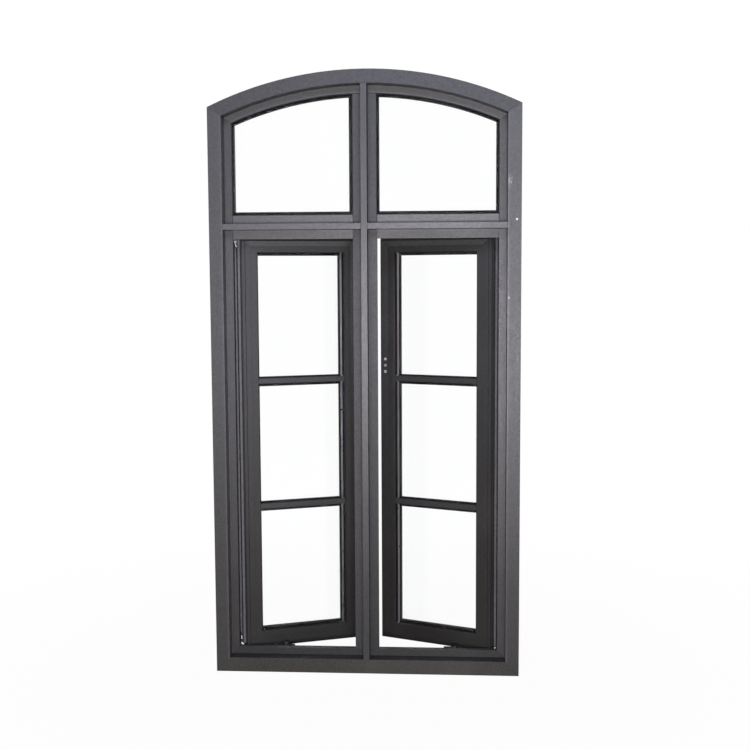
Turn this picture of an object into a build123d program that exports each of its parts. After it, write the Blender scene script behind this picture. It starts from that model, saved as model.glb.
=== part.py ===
"""Arched double casement window, with two fixed lights above and both casements standing open."""
import os
from math import asin, cos, degrees, radians, sin, sqrt

from build123d import *

os.makedirs("parts", exist_ok=True)

# Frame: X to the right seen from the room, Y out of the room, Z up, in millimetres.
# The origin is the middle of the sill's underside, half way through the frame's depth.
# In the sections, w runs inward from the outside edge and d runs outward from the room face.

# Outer frame, overall
frame_width = 1000.0
springing_height = 1848.5
arch_rise = 112.0
frame_depth = 110.0

# Outer frame, section
flange_width = 44.3
sill_flange = 47.0
flange_depth = 45.0
stop_width = 25.3
sill_stop = 22.5
stop_thickness = 21.5
side_rebate = 50.0
bar_width = 21.0
tee_leg = 28.6
mullion_web = 40.0
transom_bar = 20.0
transom_height = 1459.0
transom_rebate = 8.0
joint_gap = 0.3
edge_break = 0.8
mitre_spare = 1.0
sweep_spare = 2.0

# Fixed upper lights
bead_thickness = 8.0
bead_bevel = 1.5
pane_thickness = 5.0
cavity_width = 14.0
inner_gasket = 3.0
outer_gasket = 3.0
pane_clearance = 5.0
light_jamb_sight = 6.0
light_mullion_sight = 13.0
light_transom_sight = 14.0
light_arch_sight = 8.0
unit_offset = 2.5
spacer_clearance = 0.3
gasket_reveal = 2.0

# Casement sashes
left_open_angle = 20.6
right_open_angle = 21.7
hinge_inset = 92.3
hinge_corner_depth = 79.3
sash_overlap = 2.9
sash_member = 50.0
stay_stack_bottom = 10.0
stay_stack_top = 13.0
sash_depth = 60.0
sash_step = 9.0
sash_step_depth = 5.0
hardware_groove_start = 10.0
hardware_groove_width = 14.0
hardware_groove_depth = 8.0
lip_width = 20.0
lip_thickness = 16.0
leg_thickness = 22.0
sash_bead_width = 22.0
sash_bead_depth = 8.0
hinge_sight = 5.0
lock_sight = 16.0
bottom_sight = 10.0
top_sight = 10.0
above_bar_sight = 4.5
below_bar_sight = 9.5
glazing_bar_width = 18.0
glazing_bar_setback = 4.6
glazing_web = 5.0
bar_rise = 6.0
lower_bar_lift = 3.0
pane_count = 3

# Seals on the frame and on the sash lip
frame_seal_width = 4.0
frame_seal_height = 5.0
frame_seal_proud = 2.5
frame_seal_inset = 2.6
lip_seal_width = 4.0
lip_seal_inset = 8.0
lip_seal_height = 2.5

# Friction stays
track_length = 172.0
track_width = 19.0
track_thickness = 2.5
track_end_clearance = 6.0
track_depth = 90.0
arm_thickness = 2.5
arm_width = 14.0
arm_clearance = 0.3
sash_arm_line = 14.0
sash_arm_length = 150.0
stay_pivot = 103.0
rivet_radius = 3.0
track_pivot_inset = 10.0

# Handle preparation in the lock stiles
handle_height = 1005.0
handle_offset = 17.0
handle_pitch = 43.0
screw_hole_radius = 2.75
spindle_radius = 3.5
handle_hole_depth = 12.0

# Worked out from the sizes above
half_width = frame_width / 2
mid_depth = frame_depth / 2
outer_radius = (half_width**2 + arch_rise**2) / (2 * arch_rise)
arch_centre = springing_height + arch_rise - outer_radius
arch_half_angle = asin(half_width / outer_radius)
apex = springing_height + arch_rise
stop_line = flange_width + stop_width
sill_stop_line = sill_flange + sill_stop
stop_back = flange_depth + stop_thickness
half_bar = bar_width / 2
tee_half = half_bar + tee_leg
web_half = mullion_web / 2
transom_top = transom_height + transom_bar
transom_stop = transom_height - tee_leg
transom_ceiling = transom_height - transom_rebate
upper_leg_line = transom_top + tee_leg
unit_front = flange_depth + bead_thickness + inner_gasket
unit_depth = 2 * pane_thickness + cavity_width
unit_back = unit_front + unit_depth
light_leg = unit_back + outer_gasket
sash_bottom = sill_flange + stay_stack_bottom
sash_height = transom_ceiling - stay_stack_top - sash_bottom
sash_unit_front = sash_bead_depth + inner_gasket
sash_unit_back = sash_unit_front + unit_depth
sash_leg = sash_depth - leg_thickness
hinge_corner_x = half_width - hinge_inset
sash_width = half_width - stop_line - tee_half + 2 * sash_overlap
bead_seat = sash_member - sash_bead_width
lip_face = sash_depth - lip_thickness
SIDES = {"left": -1, "right": 1}
OPEN_ANGLE = {"left": radians(left_open_angle), "right": radians(right_open_angle)}


def front_plane(depth):
    """Plane facing the room at a depth in the frame; a positive extrude comes towards the room."""
    return Plane.XZ.offset(mid_depth - depth)


def box_sketch(low_x, low_y, high_x, high_y):
    """Rectangle between two corners, inside a sketch."""
    with Locations(((low_x + high_x) / 2, (low_y + high_y) / 2)):
        Rectangle(abs(high_x - low_x), abs(high_y - low_y))


def span(side, near, far):
    """Low and high X of a stretch given by its distances from the middle, on one side."""
    return min(side * near, side * far), max(side * near, side * far)


def arch_height(inset, x):
    """Height of the arch line that lies an inset inside the outer arch, at a distance x."""
    return arch_centre + sqrt((outer_radius - inset) ** 2 - x**2)


def casement_section(flange, stop, rebate):
    """Frame section round a casement, as (w, d) points: flange, stop leg and outer rebate."""
    return [
        (0, edge_break),
        (edge_break, 0),
        (flange - edge_break, 0),
        (flange, edge_break),
        (flange, flange_depth),
        (stop - edge_break, flange_depth),
        (stop, flange_depth + edge_break),
        (stop, stop_back),
        (rebate, stop_back),
        (rebate, frame_depth),
        (0, frame_depth),
    ]


def light_section():
    """Frame section round a fixed light, as (w, d) points: flange, glazing rebate and outer leg."""
    return [
        (0, edge_break),
        (edge_break, 0),
        (flange_width - edge_break, 0),
        (flange_width, edge_break),
        (flange_width, light_leg),
        (stop_line, light_leg),
        (stop_line, frame_depth),
        (0, frame_depth),
    ]


def corner_plane(side, corner, inner, shift):
    """Mitre plane through an outer and an inner corner of the frame, with its normal upward.

    The shift moves it along that normal, to leave half of the joint's hairline gap."""
    inward = corner[0] - inner[0]
    upward = inner[1] - corner[1]
    normal = Vector(side * upward, 0, inward).normalized()
    start = Vector(side * corner[0], 0, corner[1]) + normal * shift
    return Plane(origin=start, x_dir=(0, 1, 0), z_dir=normal)


def bottom_mitre(side, shift):
    return corner_plane(side, (half_width, 0), (half_width - stop_line, sill_stop_line), shift)


def top_mitre(side, shift):
    inner_x = half_width - flange_width
    inner = (inner_x, arch_height(flange_width, inner_x))
    return corner_plane(side, (half_width, springing_height), inner, shift)


def export(piece, name):
    piece.part.label = name
    export_step(piece.part, f"parts/{name}.step")


# Frame gaskets: a seal round each casement opening, in a groove in the back of the stop
def make_frame_gasket(side):
    near = tee_half - frame_seal_inset
    far = half_width - stop_line + frame_seal_inset
    low = sill_stop_line - frame_seal_inset
    high = transom_stop + frame_seal_inset
    with BuildPart() as gasket:
        with BuildSketch(front_plane(stop_back + frame_seal_proud)):
            box_sketch(side * (near - frame_seal_width), low - frame_seal_width,
                       side * (far + frame_seal_width), high + frame_seal_width)
            with Locations((side * (near + far) / 2, (low + high) / 2)):
                Rectangle(far - near, high - low, mode=Mode.SUBTRACT)
        extrude(amount=frame_seal_height)
    return gasket


frame_gaskets = {name: make_frame_gasket(side) for name, side in SIDES.items()}
seal_solids = [gasket.part for gasket in frame_gaskets.values()]


# Jambs: the casement section below the transom and the fixed light section above it
def make_jamb(side):
    lower = [(side * (half_width - w), d - mid_depth)
             for w, d in casement_section(flange_width, stop_line, side_rebate)]
    upper = [(side * (half_width - w), d - mid_depth) for w, d in light_section()]
    with BuildPart() as jamb:
        with BuildSketch(Plane.XY):
            with BuildLine():
                Polyline(*lower, close=True)
            make_face()
        extrude(amount=transom_height)
        with BuildSketch(Plane.XY.offset(transom_height)):
            with BuildLine():
                Polyline(*upper, close=True)
            make_face()
        extrude(amount=springing_height - transom_height)
        add(seal_solids, mode=Mode.SUBTRACT)
        split(bisect_by=bottom_mitre(side, joint_gap / 2), keep=Keep.TOP)
        split(bisect_by=top_mitre(side, -joint_gap / 2), keep=Keep.BOTTOM)
    return jamb


jambs = {name: make_jamb(side) for name, side in SIDES.items()}
for name, jamb in jambs.items():
    export(jamb, f"{name}_jamb")

# Arched head: the fixed light section turned about the arch's centre, mitred to both jambs
sweep_angle = arch_half_angle + radians(sweep_spare)
head_start = Plane(
    origin=(0, 0, arch_centre),
    x_dir=(0, 1, 0),
    z_dir=(cos(sweep_angle), 0, sin(sweep_angle)),
)
head_axis = Axis((0, 0, arch_centre), (0, 1, 0))
with BuildPart() as arched_head:
    with BuildSketch(head_start):
        with BuildLine():
            Polyline(*[(d - mid_depth, outer_radius - w) for w, d in light_section()], close=True)
        make_face()
    revolve(axis=head_axis, revolution_arc=degrees(2 * sweep_angle))
    for side in SIDES.values():
        split(bisect_by=top_mitre(side, joint_gap / 2), keep=Keep.TOP)
export(arched_head, "arched_head")

# Sill: the casement section with the taller sill flange and stop, mitred to both jambs
sill_plane = Plane(origin=(-half_width, 0, 0), x_dir=(0, 1, 0), z_dir=(1, 0, 0))
with BuildPart() as sill:
    with BuildSketch(sill_plane):
        section = casement_section(sill_flange, sill_stop_line, sill_flange)
        with BuildLine():
            Polyline(*[(d - mid_depth, w) for w, d in section], close=True)
        make_face()
    extrude(amount=frame_width)
    add(seal_solids, mode=Mode.SUBTRACT)
    for side in SIDES.values():
        split(bisect_by=bottom_mitre(side, -joint_gap / 2), keep=Keep.BOTTOM)
export(sill, "sill")


# Mullion: a tee laid down in depth layers, coped to the sill, the arch and the transoms.
# Each layer has a start and end depth, a foot, a half width, and a top: a height, or the arch's inset.
mullion_arched_layers = [
    (0, flange_depth, sill_flange, half_bar, flange_width),
    (flange_depth, stop_back, sill_stop_line, half_bar, flange_width),
    (stop_back, light_leg, sill_flange, half_bar, flange_width),
    (light_leg, frame_depth, transom_height, tee_half, stop_line),
]
mullion_level_layers = [
    (flange_depth, stop_back, sill_stop_line, tee_half, transom_height - joint_gap),
    (stop_back, frame_depth, sill_flange, web_half, transom_height),
]
with BuildPart() as mullion:
    for start, end, foot, half, inset in mullion_arched_layers:
        with BuildSketch(front_plane(end)):
            box_sketch(-half, foot + joint_gap, half, apex)
            with Locations((0, arch_centre)):
                Circle(outer_radius - inset - joint_gap, mode=Mode.INTERSECT)
        extrude(amount=end - start)
    for start, end, foot, half, top in mullion_level_layers:
        with BuildSketch(front_plane(end)):
            box_sketch(-half, foot + joint_gap, half, top)
        extrude(amount=end - start)
    add(seal_solids, mode=Mode.SUBTRACT)
    bar_edges = mullion.edges().filter_by(Axis.Z).group_by(Axis.Y)[0]
    chamfer(bar_edges, edge_break)
export(mullion, "mullion")


# Transoms: a tee in depth layers between the mullion and each jamb
def make_transom(side):
    layers = [
        (0, light_leg, transom_height, transom_top, half_bar, half_width - flange_width),
        (flange_depth, stop_back, transom_stop, transom_height, tee_half, half_width - stop_line),
        (stop_back, light_leg, transom_ceiling, transom_height, web_half, half_width - side_rebate),
        (light_leg, frame_depth, transom_ceiling, transom_height, web_half, half_width - side_rebate),
        (light_leg, frame_depth, transom_height, upper_leg_line, tee_half, half_width - stop_line),
    ]
    with BuildPart() as transom:
        for start, end, low_z, high_z, near, far in layers:
            low_x, high_x = span(side, near + joint_gap, far - joint_gap)
            with BuildSketch(front_plane(end)):
                box_sketch(low_x, low_z, high_x, high_z)
            extrude(amount=end - start)
        add(seal_solids, mode=Mode.SUBTRACT)
        bar_edges = transom.edges().filter_by(Axis.X).group_by(Axis.Y)[0]
        chamfer(bar_edges, edge_break)
    return transom


for name, side in SIDES.items():
    export(make_transom(side), f"{name}_transom")


# Fixed lights: outlines bounded by the arch, a jamb, the mullion and the transom
def light_outline(side, insets):
    """Area of a fixed light, inside a sketch on a front plane.

    The insets are from its rebate walls, at the jamb, the mullion, the transom and the arch."""
    jamb, mullion_side, low, arch = insets
    low_x, high_x = span(side, half_bar + mullion_side, half_width - flange_width - jamb)
    box_sketch(low_x, transom_top + low, high_x, apex)
    with Locations((0, arch_centre)):
        Circle(outer_radius - flange_width - arch, mode=Mode.INTERSECT)


def light_sheet(side, front, thickness, hole_insets=None):
    """Sheet filling a fixed light to the pane's clearance, with a hole to make it a ring."""
    with BuildPart() as sheet:
        with BuildSketch(front_plane(front + thickness)):
            light_outline(side, [pane_clearance] * 4)
        extrude(amount=thickness)
        if hole_insets is not None:
            with BuildSketch(front_plane(front + thickness)):
                light_outline(side, hole_insets)
            extrude(amount=thickness, mode=Mode.SUBTRACT)
    return sheet.part


def gather(solids):
    """Several loose solids as one part."""
    with BuildPart() as group:
        for solid in solids:
            add(solid)
    return group


# Beads of the fixed lights: the arch bead is mitred to the jamb bead, the others butt
def bead_corner(side, shift):
    wall_x = half_width - flange_width
    face_x = half_width - stop_line
    outer = (wall_x, arch_height(flange_width, wall_x))
    inner = (face_x, arch_height(stop_line, face_x))
    return corner_plane(side, outer, inner, shift)


def make_light_beads(side):
    wall_x = half_width - flange_width - joint_gap
    face_x = half_width - stop_line
    bead_low = transom_top + joint_gap
    bead_back = front_plane(flange_depth + bead_thickness)
    with BuildPart() as arch_bead:
        with BuildSketch(bead_back):
            low_x, high_x = span(side, half_bar + joint_gap, wall_x)
            box_sketch(low_x, transom_top, high_x, apex)
            with Locations((0, arch_centre)):
                Circle(outer_radius - flange_width - joint_gap, mode=Mode.INTERSECT)
                Circle(outer_radius - stop_line, mode=Mode.SUBTRACT)
        extrude(amount=bead_thickness)
        split(bisect_by=bead_corner(side, joint_gap / 2), keep=Keep.TOP)
        room_edges = arch_bead.edges().filter_by(GeomType.CIRCLE).group_by(Axis.Y)[0].sort_by(Axis.Z)
        chamfer(room_edges[0], bead_bevel)
    with BuildPart() as jamb_bead:
        low_x, high_x = span(side, face_x, wall_x)
        with BuildSketch(bead_back):
            box_sketch(low_x, bead_low, high_x, springing_height)
        extrude(amount=bead_thickness)
        split(bisect_by=bead_corner(side, -joint_gap / 2), keep=Keep.BOTTOM)
        room_edges = jamb_bead.edges().filter_by(Axis.Z).group_by(Axis.Y)[0]
        chamfer(room_edges.sort_by(lambda edge: abs(edge.center().X))[0], bead_bevel)
    with BuildPart() as mullion_bead:
        low_x, high_x = span(side, half_bar + joint_gap, tee_half)
        with BuildSketch(bead_back):
            box_sketch(low_x, bead_low, high_x, apex)
            with Locations((0, arch_centre)):
                Circle(outer_radius - stop_line - joint_gap, mode=Mode.INTERSECT)
        extrude(amount=bead_thickness)
        room_edges = mullion_bead.edges().filter_by(Axis.Z).group_by(Axis.Y)[0]
        chamfer(room_edges.sort_by(lambda edge: -abs(edge.center().X))[0], bead_bevel)
    with BuildPart() as transom_bead:
        low_x, high_x = span(side, tee_half + joint_gap, face_x - joint_gap)
        with BuildSketch(bead_back):
            box_sketch(low_x, bead_low, high_x, upper_leg_line)
        extrude(amount=bead_thickness)
        room_edges = transom_bead.edges().filter_by(Axis.X).group_by(Axis.Y)[0]
        chamfer(room_edges.sort_by(Axis.Z)[-1], bead_bevel)
    return {"arch_bead": arch_bead, "jamb_bead": jamb_bead,
            "mullion_bead": mullion_bead, "transom_bead": transom_bead}


# Their units sit a little left of centre, which shows in how much of each spacer is seen.
gasket_insets = [stop_width + gasket_reveal] * 4
spacer_depth = cavity_width - 2 * spacer_clearance
for name, side in SIDES.items():
    jamb_sight = light_jamb_sight + side * unit_offset
    mullion_sight = light_mullion_sight - side * unit_offset
    sights = (jamb_sight, mullion_sight, light_transom_sight, light_arch_sight)
    spacer_insets = [stop_width + sight for sight in sights]
    for bead_name, bead in make_light_beads(side).items():
        export(bead, f"{name}_light_{bead_name}")
    back_pane = unit_back - pane_thickness
    glass = gather([light_sheet(side, front, pane_thickness) for front in (unit_front, back_pane)])
    export(glass, f"{name}_light_glass")
    seals = gather([
        light_sheet(side, unit_front - inner_gasket, inner_gasket, gasket_insets),
        light_sheet(side, unit_front + pane_thickness + spacer_clearance, spacer_depth, spacer_insets),
        light_sheet(side, unit_back, outer_gasket, gasket_insets),
    ])
    export(seals, f"{name}_light_seals")


# Sashes are drawn in their own directions: u from the hinge edge to the lock edge,
# v from the room face outward, and Z up. Each side has its own open angle.
class SashFrame:
    def __init__(self, name):
        side = SIDES[name]
        angle = OPEN_ANGLE[name]
        self.hand = -side
        self.origin = Vector(side * hinge_corner_x, hinge_corner_depth - mid_depth, sash_bottom)
        self.across = Vector(-side * cos(angle), sin(angle), 0)
        self.outward = Vector(side * sin(angle), cos(angle), 0)

    def point(self, u, v, z):
        return self.origin + self.across * u + self.outward * v + Vector(0, 0, z)

    def level_plane(self, z):
        """Level plane: local X is u, and local Y is v times the hand."""
        return Plane(origin=self.point(0, 0, z), x_dir=self.across, z_dir=(0, 0, 1))

    def end_plane(self, u):
        """Upright plane across a rail: local X is v and local Y is Z; extrudes follow the hand."""
        normal = self.across * self.hand
        return Plane(origin=self.point(u, 0, 0), x_dir=self.outward, z_dir=normal)

    def face_plane(self, v):
        """Plane of the sash face: local X is u and local Y is Z; extrudes along minus v times the hand."""
        return Plane(origin=self.point(0, v, 0), x_dir=self.across, z_dir=self.outward * -self.hand)

    def cut(self, u, z, slope, shift):
        """Mitre plane through (u, z) rising with the slope, its normal upward."""
        normal = (Vector(0, 0, 1) - self.across * slope) / sqrt(2)
        return Plane(origin=self.point(u, 0, z) + normal * shift, x_dir=self.outward, z_dir=normal)


def sash_section():
    """Sash section as (u, v) points from the outer edge: step, hardware groove, lip and glazing rebate."""
    groove_end = hardware_groove_start + hardware_groove_width
    return [
        (sash_step + edge_break, 0),
        (bead_seat, 0),
        (bead_seat, sash_leg),
        (sash_member, sash_leg),
        (sash_member, sash_depth),
        (-lip_width, sash_depth),
        (-lip_width, lip_face),
        (0, lip_face),
        (0, groove_end),
        (hardware_groove_depth, groove_end),
        (hardware_groove_depth, hardware_groove_start),
        (0, hardware_groove_start),
        (0, sash_step_depth),
        (sash_step, sash_step_depth),
        (sash_step, edge_break),
    ]


def bead_section():
    """Sash bead section as (u, v) points."""
    low = bead_seat + joint_gap
    return [
        (low, 0),
        (sash_member - bead_bevel, 0),
        (sash_member, bead_bevel),
        (sash_member, sash_bead_depth),
        (low, sash_bead_depth),
    ]


def sash_upright(sash, section, from_lock):
    """Full height member at the hinge or lock side, mitred at both ends."""
    reach = lip_width + mitre_spare
    edge = sash_width if from_lock else 0
    turn = -1 if from_lock else 1
    with BuildPart() as upright:
        with BuildSketch(sash.level_plane(-reach)):
            with BuildLine():
                Polyline(*[(edge + turn * u, sash.hand * v) for u, v in section], close=True)
            make_face()
        extrude(amount=sash_height + 2 * reach)
        split(bisect_by=sash.cut(edge, 0, turn, joint_gap / 2), keep=Keep.TOP)
        split(bisect_by=sash.cut(edge, sash_height, -turn, -joint_gap / 2), keep=Keep.BOTTOM)
    return upright


def sash_level(sash, section, at_top):
    """Full width member at the bottom or top, mitred at both ends."""
    reach = lip_width + mitre_spare
    edge = sash_height if at_top else 0
    turn = -1 if at_top else 1
    keep = Keep.TOP if at_top else Keep.BOTTOM
    with BuildPart() as level:
        with BuildSketch(sash.end_plane(-reach)):
            with BuildLine():
                Polyline(*[(v, edge + turn * u) for u, v in section], close=True)
            make_face()
        extrude(amount=sash.hand * (sash_width + 2 * reach))
        split(bisect_by=sash.cut(0, edge, turn, -turn * joint_gap / 2), keep=keep)
        split(bisect_by=sash.cut(sash_width, edge, -turn, -turn * joint_gap / 2), keep=keep)
    return level


def sash_block(sash, low_u, low_z, high_u, high_z, front, thickness, holes=()):
    """Sheet in the sash plane between two corners, with rectangular holes to make it a ring."""
    with BuildPart() as sheet:
        with BuildSketch(sash.face_plane(front)):
            box_sketch(low_u, low_z, high_u, high_z)
            for hole_low_u, hole_low_z, hole_high_u, hole_high_z in holes:
                with Locations(((hole_low_u + hole_high_u) / 2, (hole_low_z + hole_high_z) / 2)):
                    Rectangle(hole_high_u - hole_low_u, hole_high_z - hole_low_z, mode=Mode.SUBTRACT)
        extrude(amount=-sash.hand * thickness)
    return sheet.part


# Lock stile: the upright with the handle's two screw holes and spindle hole
def make_lock_stile(sash):
    stile = sash_upright(sash, sash_section(), True)
    handle_u = sash_width - handle_offset
    level = handle_height - sash_bottom
    with BuildPart() as drilled:
        add(stile.part)
        with BuildSketch(sash.face_plane(0)):
            with Locations((handle_u, level + handle_pitch / 2), (handle_u, level - handle_pitch / 2)):
                Circle(screw_hole_radius)
            with Locations((handle_u, level)):
                Circle(spindle_radius)
        extrude(amount=-sash.hand * handle_hole_depth, mode=Mode.SUBTRACT)
    return drilled


# Glazing bars: an I section between the panes, set a little behind the sash face
glass_height = sash_height - 2 * sash_member
bar_levels = {
    "lower_bar": sash_member + glass_height / pane_count + lower_bar_lift,
    "upper_bar": sash_member + 2 * glass_height / pane_count,
}


def make_glazing_bar(sash, level):
    half = glazing_bar_width / 2
    half_web = glazing_web / 2
    back = sash_leg + bar_rise
    right_side = [
        (glazing_bar_setback, half - edge_break),
        (glazing_bar_setback + edge_break, half),
        (sash_bead_depth, half),
        (sash_bead_depth, half_web),
        (sash_leg, half_web),
        (sash_leg, half),
        (back, half),
    ]
    outline = right_side + [(v, -z) for v, z in reversed(right_side)]
    start = sash_member + joint_gap
    with BuildPart() as bar:
        with BuildSketch(sash.end_plane(start)):
            with BuildLine():
                Polyline(*[(v, level + z) for v, z in outline], close=True)
            make_face()
        extrude(amount=sash.hand * (sash_width - 2 * start))
    return bar


# Panes run into the rebate at the members and up to the web at the bars
def pane_levels():
    lows = [sash_member] + [level + glazing_bar_width / 2 for level in bar_levels.values()]
    highs = [level - glazing_bar_width / 2 for level in bar_levels.values()] + [sash_height - sash_member]
    return list(zip(lows, highs))


def make_sash_glass(sash):
    side_cover = sash_bead_width - pane_clearance
    bar_cover = (glazing_bar_width - glazing_web) / 2 - 2 * joint_gap
    panes = []
    seals = []
    for number, (low, high) in enumerate(pane_levels()):
        low_cover = side_cover if number == 0 else bar_cover
        high_cover = side_cover if number == len(bar_levels) else bar_cover
        low_sight = bottom_sight if number == 0 else above_bar_sight
        high_sight = top_sight if number == len(bar_levels) else below_bar_sight
        edges = (sash_member - side_cover, low - low_cover, sash_width - sash_member + side_cover, high + high_cover)
        spacer_hole = (sash_member + hinge_sight, low + low_sight,
                       sash_width - sash_member - lock_sight, high - high_sight)
        gasket_hole = (sash_member + gasket_reveal, low + gasket_reveal,
                       sash_width - sash_member - gasket_reveal, high - gasket_reveal)
        for front in (sash_unit_front, sash_unit_back - pane_thickness):
            panes.append(sash_block(sash, *edges, front, pane_thickness))
        seals.append(sash_block(sash, *edges, sash_bead_depth, inner_gasket, [gasket_hole]))
        spacer_front = sash_unit_front + pane_thickness + spacer_clearance
        seals.append(sash_block(sash, *edges, spacer_front, spacer_depth, [spacer_hole]))
        seals.append(sash_block(sash, *edges, sash_unit_back, outer_gasket, [gasket_hole]))
    outside = lip_seal_inset + lip_seal_width
    ring_hole = (-lip_seal_inset, -lip_seal_inset, sash_width + lip_seal_inset, sash_height + lip_seal_inset)
    seals.append(sash_block(sash, -outside, -outside, sash_width + outside, sash_height + outside,
                            lip_face - lip_seal_height, lip_seal_height, [ring_hole]))
    return gather(panes), gather(seals)


for name in SIDES:
    sash = SashFrame(name)
    export(sash_upright(sash, sash_section(), False), f"{name}_sash_hinge_stile")
    export(make_lock_stile(sash), f"{name}_sash_lock_stile")
    export(sash_level(sash, sash_section(), True), f"{name}_sash_top_rail")
    export(sash_level(sash, sash_section(), False), f"{name}_sash_bottom_rail")
    for bar_name, level in bar_levels.items():
        export(make_glazing_bar(sash, level), f"{name}_sash_{bar_name}")
    beads = gather([
        sash_upright(sash, bead_section(), False).part,
        sash_upright(sash, bead_section(), True).part,
        sash_level(sash, bead_section(), True).part,
        sash_level(sash, bead_section(), False).part,
    ])
    export(beads, f"{name}_sash_beads")
    glass, seals = make_sash_glass(sash)
    export(glass, f"{name}_sash_glass")
    export(seals, f"{name}_sash_seals")
    export(frame_gaskets[name], f"{name}_frame_gasket")


# Friction stays: a track on the frame, a sash arm under or over the sash, and a support arm
def slot_between(start, end, width):
    """Round ended bar between two points, inside a sketch on a level plane."""
    run = Vector(end[0] - start[0], end[1] - start[1])
    middle = ((start[0] + end[0]) / 2, (start[1] + end[1]) / 2)
    turn = Vector(1, 0, 0).get_signed_angle(run, Vector(0, 0, 1))
    with Locations(Location((middle[0], middle[1], 0), (0, 0, turn))):
        SlotCenterToCenter(run.length, width)


def make_stay(name, at_top):
    side = SIDES[name]
    sash = SashFrame(name)
    track_y = track_depth - mid_depth
    wall_x = half_width - side_rebate - track_end_clearance
    track_end = wall_x - track_length
    floor = transom_ceiling if at_top else sill_flange
    stack = stay_stack_top if at_top else stay_stack_bottom
    rise = -1 if at_top else 1
    angle = OPEN_ANGLE[name]
    line_start = sash.point(0, sash_arm_line, 0)
    shoe_u = (track_y - line_start.Y) / sin(angle)
    shoe = sash.point(shoe_u, sash_arm_line, 0)
    joint = sash.point(shoe_u + stay_pivot, sash_arm_line, 0)
    tip = sash.point(shoe_u + sash_arm_length, sash_arm_line, 0)
    fixed = (side * (track_end + track_pivot_inset), track_y)

    def slab(level, thickness):
        """Level plane and extrude amount of a slab that starts at a height above the track's seat."""
        return Plane.XY.offset(floor + rise * level), rise * thickness

    support_level = track_thickness + arm_clearance
    sash_arm_level = stack - arm_thickness
    with BuildPart() as track:
        plane, amount = slab(0, track_thickness)
        with BuildSketch(plane):
            box_sketch(side * track_end, track_y - track_width / 2, side * wall_x, track_y + track_width / 2)
        extrude(amount=amount)
        plane, amount = slab(track_thickness, arm_clearance)
        with BuildSketch(plane):
            with Locations(fixed, (shoe.X, shoe.Y)):
                Circle(rivet_radius)
        extrude(amount=amount)
    with BuildPart() as arms:
        plane, amount = slab(sash_arm_level, arm_thickness)
        with BuildSketch(plane):
            slot_between((shoe.X, shoe.Y), (tip.X, tip.Y), arm_width)
        extrude(amount=amount)
        plane, amount = slab(support_level, arm_thickness)
        with BuildSketch(plane):
            slot_between(fixed, (joint.X, joint.Y), arm_width)
        extrude(amount=amount)
        plane, amount = slab(support_level + arm_thickness, sash_arm_level - support_level - arm_thickness)
        with BuildSketch(plane):
            with Locations((joint.X, joint.Y)):
                Circle(rivet_radius)
        extrude(amount=amount)
        plane, amount = slab(support_level, sash_arm_level - support_level)
        with BuildSketch(plane):
            with Locations((shoe.X, shoe.Y)):
                Circle(arm_width / 2)
        extrude(amount=amount)
    return track, arms


for name in SIDES:
    for place, at_top in (("top", True), ("bottom", False)):
        track, arms = make_stay(name, at_top)
        export(track, f"{name}_{place}_stay_track")
        export(arms, f"{name}_{place}_stay_arms")
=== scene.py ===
import math

import bmesh
import bpy
from mathutils import Matrix, Vector


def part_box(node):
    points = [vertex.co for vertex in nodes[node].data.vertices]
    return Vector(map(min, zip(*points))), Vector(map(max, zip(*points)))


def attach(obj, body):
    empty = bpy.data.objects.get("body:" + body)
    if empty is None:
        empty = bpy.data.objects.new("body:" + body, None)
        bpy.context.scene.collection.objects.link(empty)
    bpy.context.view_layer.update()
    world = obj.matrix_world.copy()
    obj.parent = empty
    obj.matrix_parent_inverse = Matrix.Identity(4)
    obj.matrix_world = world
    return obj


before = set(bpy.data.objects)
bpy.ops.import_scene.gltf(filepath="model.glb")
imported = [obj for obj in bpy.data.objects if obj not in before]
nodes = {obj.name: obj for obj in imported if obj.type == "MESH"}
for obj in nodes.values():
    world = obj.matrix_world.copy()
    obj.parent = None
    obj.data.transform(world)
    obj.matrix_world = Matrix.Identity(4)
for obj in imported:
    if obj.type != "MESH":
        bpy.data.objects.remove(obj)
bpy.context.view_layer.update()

# Arched double casement window: its coats, its small metal and black pieces, and the studio round it
scene = bpy.context.scene

# The two halves of the window, by the sign of X, and how far each casement stands open
SIDES = {"left": -1, "right": 1}
open_angle = {"left": math.radians(20.6), "right": math.radians(21.7)}

# The two stays of a casement, by the way in Z that each track faces
STAYS = {"bottom": 1, "top": -1}

# The corner of a closed sash beside the jamb and the room, as distance from the middle and as Y
hinge_corner = (0.4077, 0.0243)

# The inner edge of the jambs' front flange, as distance from the middle
flange_edge = 0.4557

# A gap that the eye doesn't see, and one that keeps small pieces off what they stand on
hairline = 0.00015
seat_gap = 0.0001


def node_low(name):
    """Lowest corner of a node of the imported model."""
    return Vector(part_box(name)[0])


def node_high(name):
    """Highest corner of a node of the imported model."""
    return Vector(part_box(name)[1])


def stay_track(name, place):
    """Lowest and highest corner of the track of one stay."""
    track = f"{name}_{place}_stay_track"
    return node_low(track), node_high(track)


def sash_axes(name):
    """Hinge corner of an open sash, the way across it to the lock stile, and the way out of the room."""
    side, angle = SIDES[name], open_angle[name]
    corner = Vector((side * hinge_corner[0], hinge_corner[1], 0.0))
    across = Vector((-side * math.cos(angle), math.sin(angle), 0.0))
    outward = Vector((side * math.sin(angle), math.cos(angle), 0.0))
    return corner, across, outward


room_face = node_low("mullion").y


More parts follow.
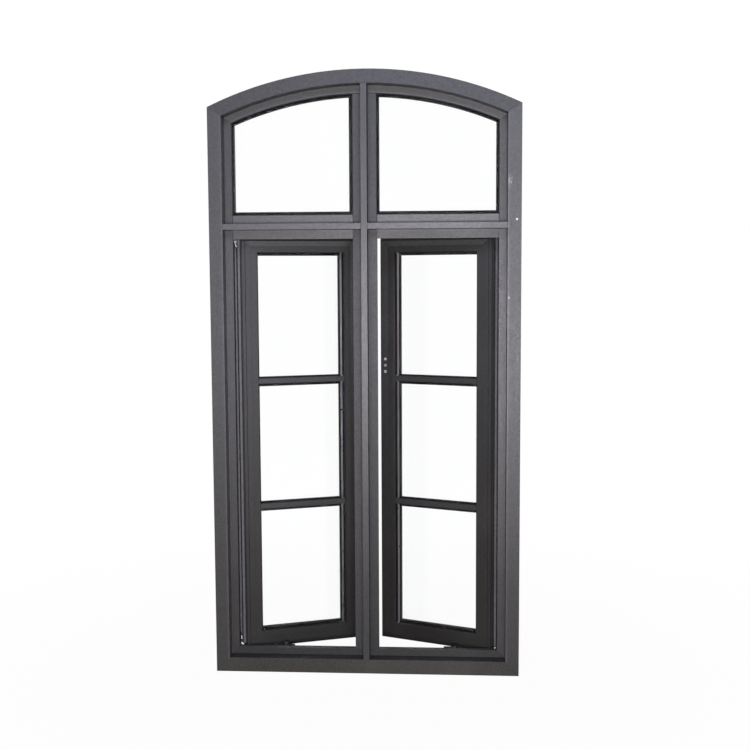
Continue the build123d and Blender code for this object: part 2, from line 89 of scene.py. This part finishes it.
# Material building
class Graph:
    """Short way to add and link the nodes of one material or world."""

    def __init__(self, owner):
        owner.use_nodes = True
        self.tree = owner.node_tree
        self.tree.nodes.clear()

    def add(self, kind, settings=None, **inputs):
        """New node with settings and inputs. An input is named by its label, or i and its number."""
        node = self.tree.nodes.new(kind)
        for name, value in (settings or {}).items():
            setattr(node, name, value)
        for name, value in inputs.items():
            self.set(node, name.replace("_", " "), value)
        return node

    def set(self, node, name, value):
        numbered = name[0] == "i" and name[1:].isdigit()
        socket = node.inputs[int(name[1:])] if numbered else node.inputs[name]
        if isinstance(value, bpy.types.NodeSocket):
            self.tree.links.new(value, socket)
        else:
            socket.default_value = value

    def place(self):
        return self.add("ShaderNodeTexCoord").outputs["Object"]

    def height(self, place):
        return self.add("ShaderNodeSeparateXYZ", Vector=place).outputs["Z"]

    def stretched(self, place, scale):
        return self.add("ShaderNodeMapping", Vector=place, Scale=scale).outputs[0]

    def noise(self, where, scale, detail=2.0, roughness=0.5):
        node = self.add("ShaderNodeTexNoise", Vector=where, Scale=scale, Detail=detail, Roughness=roughness)
        return node.outputs["Fac"]

    def remap(self, value, low, high, to_low, to_high):
        node = self.add("ShaderNodeMapRange", Value=value)
        for name, number in (("From Min", low), ("From Max", high), ("To Min", to_low), ("To Max", to_high)):
            node.inputs[name].default_value = number
        return node.outputs["Result"]

    def math(self, operation, first, second=0.0):
        return self.add("ShaderNodeMath", {"operation": operation}, i0=first, i1=second).outputs[0]

    def vector(self, operation, first, second):
        return self.add("ShaderNodeVectorMath", {"operation": operation}, i0=first, i1=second)

    def length(self, vector):
        node = self.add("ShaderNodeVectorMath", {"operation": "LENGTH"}, i0=vector)
        return node.outputs["Value"]

    def blend(self, factor, first, second):
        """Mix of two colours, which are the inputs 6 and 7 of the node."""
        node = self.add("ShaderNodeMix", {"data_type": "RGBA"}, i0=factor, i6=first, i7=second)
        return node.outputs[2]

    def bump(self, height, strength, distance, normal=None):
        node = self.add("ShaderNodeBump", Height=height, Strength=strength, Distance=distance)
        if normal is not None:
            self.set(node, "Normal", normal)
        return node.outputs["Normal"]

    def along(self, place, origin, direction):
        """Distance of a place from an origin, measured along a direction."""
        offset = self.vector("SUBTRACT", place, origin).outputs["Vector"]
        return self.vector("DOT_PRODUCT", offset, direction).outputs["Value"]

    def near(self, place, centre, reach):
        """1 at the centre, falling to 0 on an ellipsoid with those three half sizes."""
        offset = self.vector("SUBTRACT", place, centre).outputs["Vector"]
        scaled = self.vector("DIVIDE", offset, reach).outputs["Vector"]
        return self.remap(self.length(scaled), 0.0, 1.0, 1.0, 0.0)

    def finish(self, shader):
        is_world = isinstance(self.tree.id_data, bpy.types.World)
        kind = "ShaderNodeOutputWorld" if is_world else "ShaderNodeOutputMaterial"
        self.add(kind, Surface=shader.outputs[0])


def grey(level, warmth=0.0):
    return (level * (1 + warmth), level, level * (1 - warmth), 1.0)


def powder_coat(name, level, roughness, shine=0.5, marks=()):
    """Dark textured powder coat: grain, orange peel, mottling, dust in patches and faint rubbed streaks."""
    material = bpy.data.materials.new(name)
    g = Graph(material)
    place = g.place()
    mottle = g.noise(place, 170.0, 3.0, 0.65)
    cloud = g.noise(place, 5.0, 4.0, 0.55)
    grain = g.noise(place, 1500.0, 1.0)
    peel = g.noise(place, 420.0, 2.0)
    rubbed = g.noise(g.stretched(place, (160.0, 160.0, 6.0)), 1.0, 4.0, 0.6)
    colour = g.blend(g.remap(mottle, 0.3, 0.7, 0.0, 1.0), grey(level * 0.62), grey(level * 1.4))
    dusty = g.remap(cloud, 0.45, 0.75, 0.0, 0.25)
    colour = g.blend(dusty, colour, grey(level * 2.0, 0.02))
    clouded = g.remap(cloud, 0.3, 0.7, roughness - 0.03, roughness + 0.04)
    worn = g.math("ADD", g.remap(mottle, 0.3, 0.7, 0.05, -0.05), g.remap(rubbed, 0.55, 0.75, 0.0, -0.05))
    rough = g.math("ADD", clouded, worn)
    for mark in marks:
        colour, rough = mark(g, place, colour, rough)
    normal = g.bump(peel, 0.3, 0.0004, g.bump(grain, 0.35, 0.0002, g.bump(mottle, 0.25, 0.0008)))
    g.finish(g.add("ShaderNodeBsdfPrincipled", Base_Color=colour, Roughness=rough, Specular_IOR_Level=shine,
                   Normal=normal))
    return material


# Where the spacer's metal edge shows through a sash's pane, from the hinge corner across the sash
strip_start = 0.3355
strip_end = 0.342
strip_level = 0.45


def black_rubber(name, sash=None):
    """Matt black rubber with a faint bloom. A sash's seals also show the spacer's metal strip."""
    material = bpy.data.materials.new(name)
    g = Graph(material)
    place = g.place()
    bloom = g.noise(place, 60.0, 4.0, 0.6)
    colour = g.blend(g.remap(bloom, 0.4, 0.8, 0.0, 1.0), grey(0.009), grey(0.018))
    rough = g.remap(bloom, 0.3, 0.7, 0.6, 0.8)
    metallic = 0.0
    if sash:
        corner, across, outward = sash_axes(sash)
        reach = g.along(place, corner, across)
        metallic = g.math("MULTIPLY", g.math("GREATER_THAN", reach, strip_start),
                          g.math("LESS_THAN", reach, strip_end))
        colour = g.blend(metallic, colour, grey(strip_level))
        rough = g.math("SUBTRACT", rough, g.math("MULTIPLY", metallic, 0.35))
    normal = g.bump(g.noise(place, 900.0), 0.2, 0.0002)
    g.finish(g.add("ShaderNodeBsdfPrincipled", Base_Color=colour, Roughness=rough, Specular_IOR_Level=0.2,
                   Metallic=metallic, Normal=normal))
    return material


def clear_glass(name):
    """Clean sheet glass with a thin uneven film on it. Its low index stands for a coated pane."""
    material = bpy.data.materials.new(name)
    g = Graph(material)
    film = g.noise(g.place(), 7.0, 5.0, 0.6)
    colour = g.blend(film, (0.995, 1.0, 0.998, 1.0), (0.999, 1.0, 1.0, 1.0))
    rough = g.remap(film, 0.45, 0.8, 0.0, 0.02)
    g.finish(g.add("ShaderNodeBsdfPrincipled", Base_Color=colour, Roughness=rough, IOR=1.2,
                   Transmission_Weight=1.0))
    return material


def metal(name, level, roughness, stained, metallic=1.0):
    """Brushed metal with darker stains. A low metallic share makes it a dull coating."""
    material = bpy.data.materials.new(name)
    g = Graph(material)
    place = g.place()
    streak = g.noise(g.stretched(place, (60.0, 1400.0, 1400.0)), 1.0, 3.0)
    stain = g.noise(place, 45.0, 4.0, 0.6)
    colour = g.blend(g.remap(stain, 0.4, 0.7, 0.0, 1.0), grey(level, 0.01), grey(level * stained, 0.04))
    rough = g.math("ADD", g.remap(streak, 0.3, 0.7, roughness - 0.06, roughness + 0.06),
                   g.remap(stain, 0.4, 0.7, 0.0, 0.12))
    normal = g.bump(streak, 0.15, 0.0002)
    g.finish(g.add("ShaderNodeBsdfPrincipled", Base_Color=colour, Metallic=metallic, Roughness=rough,
                   Normal=normal))
    return material


# Marks, which change a coat's colour and roughness at some places
def scrape(centre, reach, level, threshold, stretch):
    """Pale metal where a noise passes a threshold near a centre."""
    def mark(g, place, colour, rough):
        scratch = g.noise(g.stretched(place, stretch), 1.0, 3.0, 0.6)
        broken = g.remap(scratch, threshold, threshold + 0.1, 0.0, 2.0)
        share = g.math("MINIMUM", g.math("MULTIPLY", g.near(place, centre, reach), broken), 1.0)
        return g.blend(share, colour, grey(level)), g.math("ADD", rough, g.math("MULTIPLY", share, -0.1))
    return mark


def painted_edge_highlight(distance, width, level):
    """Painted highlight: a paler line along an upright edge at that distance from the middle of the window,
    where a rounded edge catches the light.
    """
    def mark(g, place, colour, rough):
        x = g.add("ShaderNodeSeparateXYZ", Vector=place).outputs["X"]
        away = g.math("ABSOLUTE", g.math("SUBTRACT", g.math("ABSOLUTE", x), distance))
        broken = g.remap(g.noise(place, 60.0), 0.3, 0.6, 0.5, 1.0)
        share = g.math("MULTIPLY", g.remap(away, 0.0, width, 1.0, 0.0), broken)
        return g.blend(share, colour, grey(level)), g.math("ADD", rough, g.math("MULTIPLY", share, -0.08))
    return mark


def seal_and_painted_shade_rim(low, high):
    """Black below one height and above another, along a sash's bottom and top: partly a black seal, partly
    painted shade on the sash's recessed step.
    """
    def mark(g, place, colour, rough):
        z = g.height(place)
        share = g.math("MAXIMUM", g.math("LESS_THAN", z, low), g.math("GREATER_THAN", z, high))
        return g.blend(share, colour, grey(0.007)), g.math("ADD", rough, g.math("MULTIPLY", share, 0.35))
    return mark


def painted_light_by_height(low, high, below, above):
    """Painted light: the colour times one tint below a height and another above a second height, for light
    that changes with height.
    """
    def mark(g, place, colour, rough):
        tint = g.blend(g.remap(g.height(place), low, high, 0.0, 1.0), (*below, 1.0), (*above, 1.0))
        return g.vector("MULTIPLY", colour, tint).outputs["Vector"], rough
    return mark


def tinted(tint):
    """The colour times one tint all over."""
    def mark(g, place, colour, rough):
        return g.vector("MULTIPLY", colour, tint).outputs["Vector"], rough
    return mark


def evenly(amount):
    """The same amount for all three colours or directions."""
    return (amount, amount, amount)


# Painted light and shade: the light falls off towards the floor and is warmer there, and the coats are
# painted darker and warmer there too
plain = evenly(1.0)
# Black seal and painted shade along the sashes' bottom and top
sash_seal_and_painted_shade = seal_and_painted_shade_rim(low=0.0625, high=1.4262)
sash_painted_light = painted_light_by_height(low=0.1, high=1.35, below=(0.8, 0.75, 0.62), above=evenly(1.2))
lock_painted_light = painted_light_by_height(low=0.1, high=0.75, below=(0.88, 0.82, 0.68), above=plain)
# Painted light: the lock stiles' tops are lighter, the left one most
left_lock_painted_light = painted_light_by_height(low=0.75, high=1.3, below=plain, above=evenly(3.2))
right_lock_painted_light = painted_light_by_height(low=0.75, high=1.3, below=plain, above=evenly(2.0))
jamb_painted_light = painted_light_by_height(low=0.2, high=1.0, below=(0.75, 0.72, 0.68), above=plain)
# Painted highlight on the mullion's bar: lighter below 1.12 m, darker above 1.3 m, lighter again above 1.6 m
bar_lower_painted_light = painted_light_by_height(low=1.12, high=1.3, below=evenly(1.12), above=evenly(0.82))
bar_upper_painted_light = painted_light_by_height(low=1.5, high=1.6, below=plain, above=evenly(1.35))
# Painted shade on the mullion's right recess, darker below 0.55 m
right_recess_painted_shade = painted_light_by_height(low=0.55, high=1.1, below=evenly(0.72), above=plain)
# Painted warm light on the sill's face, as from the floor's bounce
sill_painted_warm_light = tinted((1.04, 1.0, 0.8))
# Painted highlight along the inner edge of the jambs' flanges
flange_painted_highlight = painted_edge_highlight(flange_edge + 0.002, width=0.006, level=0.07)

# Scuffs and a chip that the photograph shows on the right jamb's face
upper_scuff = scrape((0.461, room_face, 1.605), reach=(0.012, 0.01, 0.028), level=0.3, threshold=0.5,
                     stretch=(900.0, 900.0, 120.0))
chip = scrape((0.4851, room_face, 1.4867), reach=(0.004, 0.01, 0.004), level=0.7, threshold=0.3,
              stretch=evenly(300.0))
lower_scuff = scrape((0.4614, room_face, 1.2378), reach=(0.004, 0.01, 0.006), level=0.25, threshold=0.4,
                     stretch=evenly(300.0))

# Coats: the same powder coat, a little different where its age or its gloss differs, and in lighter and
# darker copies that are painted light and painted shade where the light on it differs
frame_level = 0.032
sash_level = 0.019
frame_coat = powder_coat("frame_coat", frame_level, 0.46)
# Painted light: the arch's and jambs' coats are lighter copies, the right jamb's most, as the light on them
# is brighter
arch_coat = powder_coat("arch_coat", frame_level * 1.05, 0.48, shine=0.45)
left_jamb_coat = powder_coat("left_jamb_coat", frame_level * 1.15, 0.46, shine=0.56,
                             marks=(jamb_painted_light, flange_painted_highlight))
right_jamb_coat = powder_coat("right_jamb_coat", frame_level * 1.2, 0.45, shine=0.58,
                              marks=(jamb_painted_light, flange_painted_highlight, upper_scuff, chip, lower_scuff))
bar_coat = powder_coat("bar_coat", frame_level * 0.95, 0.37, shine=0.58,
                       marks=(bar_lower_painted_light, bar_upper_painted_light))
# Painted light: the coats of the transoms, the beads and the stops are lighter copies
cross_coat = powder_coat("cross_coat", frame_level * 1.5, 0.43, shine=0.68)
stop_coat = powder_coat("stop_coat", frame_level * 1.25, 0.45, shine=0.58)
# Painted shade: the mullion's recess coats are darker copies, for the shade beside its bar
recess_coat = powder_coat("recess_coat", frame_level * 0.88, 0.5, shine=0.46)
right_recess_coat = powder_coat("right_recess_coat", frame_level * 0.88, 0.5, shine=0.46,
                                marks=(right_recess_painted_shade,))
sill_face_coat = powder_coat("sill_face_coat", frame_level, 0.46, marks=(sill_painted_warm_light,))
# Painted shade: the sill's set-back faces and its upward ledge are darker copies, for the shade they lie in
sill_coat = powder_coat("sill_coat", frame_level * 0.65, 0.5, shine=0.45)
ledge_coat = powder_coat("ledge_coat", frame_level * 0.6, 0.6, shine=0.25)
sash_coat = powder_coat("sash_coat", sash_level, 0.47, marks=(sash_painted_light, sash_seal_and_painted_shade))
# Painted light: the sashes' top rails, glazing bars, lock stiles, hinge edges and lips are lighter copies of
# the sash coat, where they lie in shade
rail_coat = powder_coat("rail_coat", sash_level * 2.3, 0.45, shine=0.6, marks=(sash_seal_and_painted_shade,))
glazing_bar_coat = powder_coat("glazing_bar_coat", sash_level * 1.2, 0.46, shine=0.58)
left_lock_coat = powder_coat("left_lock_coat", sash_level * 1.1, 0.47,
                             marks=(lock_painted_light, left_lock_painted_light, sash_seal_and_painted_shade))
right_lock_coat = powder_coat("right_lock_coat", sash_level * 1.15, 0.47,
                              marks=(lock_painted_light, right_lock_painted_light, sash_seal_and_painted_shade))
edge_coat = powder_coat("edge_coat", sash_level * 2.2, 0.5)
lip_coat = powder_coat("lip_coat", sash_level * 6.0, 0.5)

# Rubber, glass and metal
rubber = black_rubber("black_rubber")
left_sash_rubber = black_rubber("left_spacer_rubber", "left")
right_sash_rubber = black_rubber("right_spacer_rubber", "right")
glass = clear_glass("clear_glass")
stay_metal = metal("stay_metal", 0.3, 0.4, stained=0.25)
# Nearly white, mostly matt steel for the screws, the pin glints and the inserts: the steel's own paleness
# together with a painted glint
pale_steel_painted_glint = metal("pale_steel_painted_glint", 0.9, 0.35, stained=0.75, metallic=0.2)
stay_black = metal("stay_black", 0.012, 0.5, stained=0.5, metallic=0.0)

# The main material of each node is the first one here whose words are in the node's name
main_materials = (
    ("glass", glass),
    ("left_sash_seals", left_sash_rubber),
    ("right_sash_seals", right_sash_rubber),
    ("seals", rubber),
    ("gasket", rubber),
    ("_stay_", stay_metal),
    ("sash_top_rail", rail_coat),
    ("_bar", glazing_bar_coat),
    ("left_sash_lock_stile", left_lock_coat),
    ("right_sash_lock_stile", right_lock_coat),
    ("_sash_", sash_coat),
    ("sill", sill_face_coat),
    ("arched_head", arch_coat),
    ("left_jamb", left_jamb_coat),
    ("right_jamb", right_jamb_coat),
    ("transom_bead", cross_coat),
    ("arch_bead", cross_coat),
    ("mullion", recess_coat),
    ("", frame_coat),
)


def main_material(name):
    return next(material for words, material in main_materials if words in name)


for name, node in nodes.items():
    node.data.materials.clear()
    node.data.materials.append(main_material(name))


# Faces whose material differs from the rest of their node.
# Faces count as on a plane within the tolerance, and as facing a way by the cosine of the angle to it
tolerance = 0.001
facing_cosine = 0.9
edge_cosine = 0.5
stop_back = 0.0
mullion_side = 0.012
ledge_height = 0.05
lip_depth = 0.04


def second_material(name, material, chosen):
    """Gives a node's chosen faces another material."""
    mesh = nodes[name].data
    mesh.materials.append(material)
    for face in mesh.polygons:
        if chosen(face):
            face.material_index = len(mesh.materials) - 1


def on_room_face(face):
    return face.center.y < room_face + tolerance


def on_stop(face):
    return room_face + tolerance < face.center.y < stop_back


def right_of_mullion(face):
    return face.center.x > mullion_side and face.center.y > room_face + tolerance


def on_ledge(face):
    return face.normal.z > facing_cosine and face.center.z < ledge_height


def sill_set_back(face):
    return face.normal.y < -facing_cosine and face.center.y > room_face + tolerance


def sash_edge(name):
    """Chooses the faces of a hinge stile that look away from the lock stile."""
    corner, across, outward = sash_axes(name)
    return lambda face: face.normal.dot(across) < -facing_cosine


def sash_lip(name):
    """Chooses the room side of the lip along a hinge stile's outer face."""
    corner, across, outward = sash_axes(name)

    def chosen(face):
        towards_room = face.normal.dot(outward) < -facing_cosine
        return towards_room and (face.center - corner).dot(outward) > lip_depth
    return chosen


def pane_edge(way):
    """Chooses the narrow faces round panes that face that way."""
    return lambda face: abs(face.normal.dot(way)) < edge_cosine


# These faces get the painted light and shade coats: lighter transom faces and stops, darker mullion recess,
# sill ledge and set-back, lighter sash edges and lips
second_material("mullion", right_recess_coat, right_of_mullion)
second_material("mullion", bar_coat, on_room_face)
second_material("left_transom", cross_coat, lambda face: on_room_face(face) or on_stop(face))
second_material("right_transom", cross_coat, on_room_face)
second_material("right_transom", stop_coat, on_stop)
second_material("sill", ledge_coat, on_ledge)
second_material("sill", sill_coat, sill_set_back)
for name in SIDES:
    second_material(f"{name}_sash_hinge_stile", edge_coat, sash_edge(name))
    second_material(f"{name}_sash_hinge_stile", lip_coat, sash_lip(name))

# The panes' edges are dark, and each pane is drawn a hair thinner than the gap it fills, so that it
# doesn't share its faces with the spacer and the gaskets
for name in SIDES:
    second_material(f"{name}_light_glass", rubber, pane_edge(Vector((0.0, 1.0, 0.0))))
    second_material(f"{name}_sash_glass", rubber, pane_edge(sash_axes(name)[2]))
    for panes in (f"{name}_light_glass", f"{name}_sash_glass"):
        shrink = nodes[panes].modifiers.new("hairline", "DISPLACE")
        shrink.strength = -hairline
        shrink.mid_level = 0.0


# Small pieces that the solids leave out
round_segments = 24
head_taper = 0.8
ring_taper = 0.9


def finish_piece(name, mesh, material):
    """Turns a finished mesh into a piece that rides on the window."""
    data = bpy.data.meshes.new(name)
    mesh.to_mesh(data)
    mesh.free()
    data.materials.append(material)
    piece = bpy.data.objects.new(name, data)
    scene.collection.objects.link(piece)
    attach(piece, "root")


def turned_to(axis, centre):
    """Matrix that takes the Z axis to an axis through a centre."""
    turn = Vector((0, 0, 1)).rotation_difference(Vector(axis)).to_matrix().to_4x4()
    return Matrix.Translation(centre) @ turn


def add_disc(mesh, centre, axis, radius, thickness):
    """Round flat head whose middle is at a centre, its thickness along an axis."""
    bmesh.ops.create_cone(mesh, cap_ends=True, segments=round_segments, radius1=radius,
                          radius2=radius * head_taper, depth=thickness, matrix=turned_to(axis, centre))


def add_ring(mesh, centre, axis, inner, outer, thickness):
    """Flat ring whose middle is at a centre, its thickness along an axis."""
    turn = turned_to(axis, centre)
    half = thickness / 2
    section = ((inner, -half), (outer, -half), (outer * ring_taper, half), (inner, half))
    rings = []
    for number in range(round_segments):
        angle = 2 * math.pi * number / round_segments
        way = Vector((math.cos(angle), math.sin(angle), 0.0))
        corners = [turn @ (way * radius + Vector((0, 0, height))) for radius, height in section]
        rings.append([mesh.verts.new(corner) for corner in corners])
    for number, ring in enumerate(rings):
        after = rings[(number + 1) % round_segments]
        for step in range(len(section)):
            following = (step + 1) % len(section)
            mesh.faces.new((ring[step], after[step], after[following], ring[following]))


def add_block(mesh, low, high):
    """Box between its lowest and its highest corner."""
    size = Vector(high) - Vector(low)
    middle = (Vector(high) + Vector(low)) / 2
    made = bmesh.ops.create_cube(mesh, size=1.0)
    bmesh.ops.scale(mesh, vec=size, verts=made["verts"])
    bmesh.ops.translate(mesh, vec=middle, verts=made["verts"])


# Screws in the stays' tracks, each at a share of the track's length from its inner end
track_thickness = 0.0025
screw_radius = 0.0036
screw_height = 0.0012
screw_setback = 0.004
screw_shares = (0.28, 0.62, 0.93)


def stay_screws(name, side):
    """Screw heads along both tracks of one casement."""
    mesh = bmesh.new()
    for place, up in STAYS.items():
        low, high = stay_track(name, place)
        seat = low.z + track_thickness if up > 0 else high.z - track_thickness
        z = seat + up * screw_height / 2
        y = (low.y + high.y) / 2 - screw_setback
        inner, outer = (low.x, high.x) if side > 0 else (high.x, low.x)
        for share in screw_shares:
            x = inner + (outer - inner) * share
            add_disc(mesh, (x, y, z), (0, 0, up), screw_radius, screw_height)
    finish_piece(f"{name}_stay_screws", mesh, pale_steel_painted_glint)


# End caps of the stays, and the height that each reaches
cap_depth = 0.012
cap_width = 0.0115
cap_bevel = 0.001
cap_reach = {
    ("left", "bottom"): 0.1045,
    ("left", "top"): 1.404,
    ("right", "bottom"): 0.0745,
    ("right", "top"): 1.416,
}


def stay_end_caps(name, side):
    """Black upright end of each track, beside the jamb, where the sash edge is caught as it closes."""
    mesh = bmesh.new()
    for place, up in STAYS.items():
        low, high = stay_track(name, place)
        middle = (low.y + high.y) / 2
        end = low.x if side < 0 else high.x
        inner = end - side * cap_width
        seat = high.z + seat_gap if up > 0 else low.z - seat_gap
        reach = cap_reach[name, place]
        add_block(mesh, (min(end, inner), middle - cap_depth / 2, min(seat, reach)),
                  (max(end, inner), middle + cap_depth / 2, max(seat, reach)))
    bmesh.ops.bevel(mesh, geom=mesh.edges[:], offset=cap_bevel, segments=2, affect="EDGES")
    finish_piece(f"{name}_stay_end_caps", mesh, stay_black)


# Pins whose near-white coat is a painted glint: the X and Z of one end and of the other, and the radius
glint_pins = {
    "left": (
        ((-0.4322, 1.4241), (-0.4322, 1.4242), 0.0064),
        ((-0.4302, 1.4155), (-0.4276, 1.4075), 0.0022),
        ((-0.4312, 0.093), (-0.4308, 0.0855), 0.0024),
        ((-0.4302, 0.0695), (-0.426, 0.0645), 0.0034),
    ),
    "right": (((0.4247, 0.0625), (0.426, 0.0655), 0.003),),
}
pin_beads = 5


def stay_glint_pins(name):
    """Each a pale pin: a short rounded bar that stands out of the end caps towards the room, drawn where
    bright steel glints, as a painted highlight.
    """
    low, high = stay_track(name, "top")
    front = (low.y + high.y) / 2 - cap_depth / 2
    mesh = bmesh.new()
    for (start_x, start_z), (end_x, end_z), radius in glint_pins[name]:
        for bead in range(pin_beads):
            x = start_x + (end_x - start_x) * bead / (pin_beads - 1)
            z = start_z + (end_z - start_z) * bead / (pin_beads - 1)
            bmesh.ops.create_uvsphere(mesh, u_segments=16, v_segments=10, radius=radius,
                                      matrix=Matrix.Translation((x, front, z)))
    finish_piece(f"{name}_stay_glint_pins", mesh, pale_steel_painted_glint)


# Guides on the bottom tracks: the middle and the tip as distances from the window's middle, and the top
guides = {
    "left": {"middle": 0.279, "top": 0.0735, "tip": 0.2497},
    "right": {"middle": 0.292, "top": 0.0705, "tip": 0.2545},
}
guide_radius = 0.0125
nose_tail = 0.03
nose_top = 0.0645
nose_thickness = 0.0025
nose_half_depth = 0.006
rivet_radius = 0.0026
rivet_height = 0.002
rivet_shift = 0.003


def stay_guide(name, side):
    """Black guide on the bottom track: a round boss with a flat nose towards the middle, and its rivet."""
    low, high = stay_track(name, "bottom")
    guide = guides[name]
    x, y = side * guide["middle"], (low.y + high.y) / 2
    mesh = bmesh.new()
    add_disc(mesh, (x, y, (high.z + guide["top"]) / 2), (0, 0, 1), guide_radius, guide["top"] - high.z)
    near, far = sorted((x + side * nose_tail, side * guide["tip"]))
    add_block(mesh, (near, y - nose_half_depth, nose_top - nose_thickness),
              (far, y + nose_half_depth, nose_top))
    finish_piece(f"{name}_stay_guide", mesh, stay_black)
    mesh = bmesh.new()
    rivet_place = (x - side * rivet_shift, y - guide_radius, nose_top)
    add_disc(mesh, rivet_place, (0, -1, 0), rivet_radius, rivet_height)
    finish_piece(f"{name}_stay_rivet", mesh, stay_metal)


# Handle holes in the lock stile, and the inserts that the photograph shows in the right casement's
handle_level = 1.005
handle_pitch = 0.043
sash_width = 0.3971
handle_setback = 0.017
insert_radius = 0.0046
insert_proud = 0.0006
screw_bore = 0.0022
spindle_bore = 0.0028


def handle_inserts(name):
    """Flanged steel inserts in the three handle holes of one lock stile."""
    corner, across, outward = sash_axes(name)
    mesh = bmesh.new()
    half_pitch = handle_pitch / 2
    for offset, bore in ((-half_pitch, screw_bore), (0.0, spindle_bore), (half_pitch, screw_bore)):
        centre = corner + across * (sash_width - handle_setback) - outward * insert_proud / 2
        centre.z = handle_level + offset
        add_ring(mesh, centre, -outward, bore, insert_radius, insert_proud)
    finish_piece(f"{name}_handle_inserts", mesh, pale_steel_painted_glint)


for name, side in SIDES.items():
    stay_screws(name, side)
    stay_end_caps(name, side)
    stay_glint_pins(name)
    stay_guide(name, side)
handle_inserts("right")

# World: white where it is seen, and a dim room with its own light for mirrored and for diffuse rays
mirrored_low = 0.025
mirrored_high = 0.22
fill_low = 0.06
fill_high = 0.32
low_tint = (1.25, 1.05, 0.74, 1.0)
high_tint = (0.96, 1.01, 0.97, 1.0)
white_colour = (1.0, 1.0, 1.0, 1.0)


def rays_seen(g):
    """1 on rays from the camera, straight or through glass."""
    path = g.add("ShaderNodeLightPath").outputs
    return g.math("MAXIMUM", path["Is Camera Ray"], path["Is Transmission Ray"])


def make_world():
    world = bpy.data.worlds.new("studio")
    scene.world = world
    g = Graph(world)
    glossy = g.add("ShaderNodeLightPath").outputs["Is Glossy Ray"]
    direction = g.add("ShaderNodeTexCoord").outputs["Generated"]
    part = g.add("ShaderNodeSeparateXYZ", Vector=direction).outputs
    behind = g.math("MULTIPLY", glossy, g.remap(part["Y"], -0.2, 0.3, 0.0, 1.0))
    white = g.math("MAXIMUM", rays_seen(g), behind)
    upward = g.remap(part["Z"], -0.2, 0.35, 0.0, 1.0)
    mirrored = g.math("ADD", mirrored_low, g.math("MULTIPLY", upward, mirrored_high - mirrored_low))
    fill = g.math("ADD", fill_low, g.math("MULTIPLY", upward, fill_high - fill_low))
    dim = g.math("ADD", g.math("MULTIPLY", mirrored, glossy),
                 g.math("MULTIPLY", fill, g.math("SUBTRACT", 1.0, glossy)))
    level = g.math("ADD", g.math("MULTIPLY", white, g.math("SUBTRACT", 1.0, dim)), dim)
    colour = g.blend(white, g.blend(upward, low_tint, high_tint), white_colour)
    g.finish(g.add("ShaderNodeBackground", Color=colour, Strength=level))


# Floor: pale, nearly white where it is seen, and white far from the window
floor_size = 40.0
floor_colour = (0.3, 0.25, 0.2, 1.0)
floor_near = 0.5
floor_far = 2.2
floor_near_share = 0.975


def make_floor():
    bpy.ops.mesh.primitive_plane_add(size=floor_size, location=(0.0, 0.0, 0.0))
    floor = bpy.context.object
    floor.name = "floor"
    material = bpy.data.materials.new("pale_floor")
    g = Graph(material)
    reach = g.length(g.place())
    share = g.math("MULTIPLY", rays_seen(g), g.remap(reach, floor_near, floor_far, floor_near_share, 1.0))
    mix = g.add("ShaderNodeMixShader", i0=share)
    diffuse = g.add("ShaderNodeBsdfDiffuse", Color=floor_colour)
    glow = g.add("ShaderNodeEmission", Color=white_colour, Strength=1.0)
    g.tree.links.new(diffuse.outputs[0], mix.inputs[1])
    g.tree.links.new(glow.outputs[0], mix.inputs[2])
    g.finish(mix)
    floor.data.materials.append(material)


def area_light(name, place, target, size, power, colour):
    """Rectangular light that looks at a target and isn't seen itself."""
    light = bpy.data.lights.new(name, "AREA")
    light.color = colour
    light.shape = "RECTANGLE"
    light.size, light.size_y = size
    light.energy = power
    holder = bpy.data.objects.new(name, light)
    scene.collection.objects.link(holder)
    holder.location = place
    holder.rotation_euler = (Vector(target) - Vector(place)).to_track_quat("-Z", "Y").to_euler()
    holder.visible_camera = False


# Lights. The left one is low enough that the upper panes don't mirror it over their spacers.
make_world()
make_floor()
area_light("near_light", place=(0.3, -3.8, 0.88), target=(0.0, 0.0, 1.0),
           size=(0.8, 0.6), power=64.0, colour=(1.03, 0.97, 1.01))
area_light("side_light", place=(0.8, -4.0, 1.1), target=(0.0, 0.0, 1.0),
           size=(1.4, 0.8), power=34.0, colour=(0.92, 0.96, 1.1))
area_light("left_light", place=(-0.8, -3.8, 1.28), target=(0.0, 0.0, 1.2),
           size=(0.8, 0.8), power=17.0, colour=(0.98, 0.96, 1.06))
area_light("sky_light", place=(0.3, -2.8, 3.4), target=(0.0, 0.0, 1.6),
           size=(2.2, 1.0), power=70.0, colour=(0.87, 0.9, 1.19))

# Camera at the photograph's place
camera_place = (0.262115, -3.633266, 1.319294)
camera_yaw = 0.0639049
camera_pitch = -0.0911401
camera_roll = 0.0051614
lens_mm = 53.599
sensor_mm = 36.0


def make_camera():
    data = bpy.data.cameras.new("camera")
    data.lens = lens_mm
    data.sensor_width = sensor_mm
    camera = bpy.data.objects.new("camera", data)
    scene.collection.objects.link(camera)
    turn = (Matrix.Rotation(camera_yaw, 4, "Z") @ Matrix.Rotation(camera_pitch, 4, "X")
            @ Matrix.Rotation(camera_roll, 4, "Y") @ Matrix.Rotation(math.radians(90), 4, "X"))
    camera.matrix_world = Matrix.Translation(camera_place) @ turn
    scene.camera = camera


make_camera()
scene.view_settings.view_transform = "Standard"
